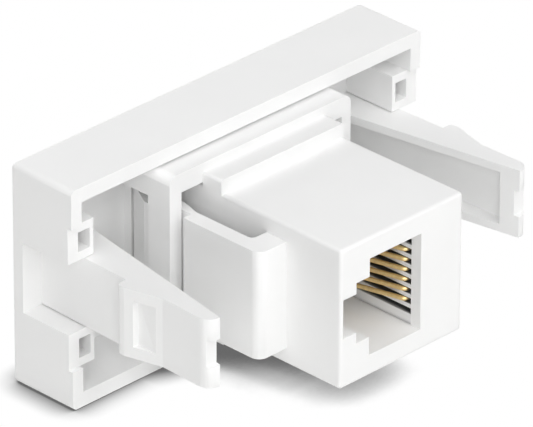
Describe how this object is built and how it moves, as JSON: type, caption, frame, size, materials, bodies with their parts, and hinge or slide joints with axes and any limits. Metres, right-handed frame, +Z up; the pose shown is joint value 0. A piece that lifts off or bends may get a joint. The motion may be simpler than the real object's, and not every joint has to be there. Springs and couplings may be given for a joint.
{
  "type": "telephone keystone coupler module",
  "caption": "White snap-in wiring module carrying a keystone telephone coupler, with a modular socket at the front and at the back.",
  "frame": {"origin": "centre of the front face of the module frame", "axes": "+X along the 45 mm face, towards the coupler's latch; +Y to the rear, the way the module is pushed in; +Z up, across the 22.5 mm height"},
  "size_m": [0.045, 0.0273, 0.0226],
  "materials": {
    "module_plastic": "semi-matt white moulding",
    "shell_plastic": "semi-matt white moulding",
    "insert_plastic": "pale grey moulding",
    "board": "green glass-fibre board",
    "contact_gold": "gold plated wire"
  },
  "bodies": {
    "root": {"module_frame": "module_plastic", "front_shell": "shell_plastic", "rear_shell": "shell_plastic", "rear_contact_carrier": "insert_plastic", "front_contact_carrier": "insert_plastic", "circuit_board": "board", "rear_contact_1": "contact_gold", "rear_contact_2": "contact_gold", "rear_contact_3": "contact_gold", "rear_contact_4": "contact_gold", "rear_contact_5": "contact_gold", "rear_contact_6": "contact_gold", "front_contact_1": "contact_gold", "front_contact_2": "contact_gold", "front_contact_3": "contact_gold", "front_contact_4": "contact_gold", "front_contact_5": "contact_gold", "front_contact_6": "contact_gold"}
  },
  "joints": []
}
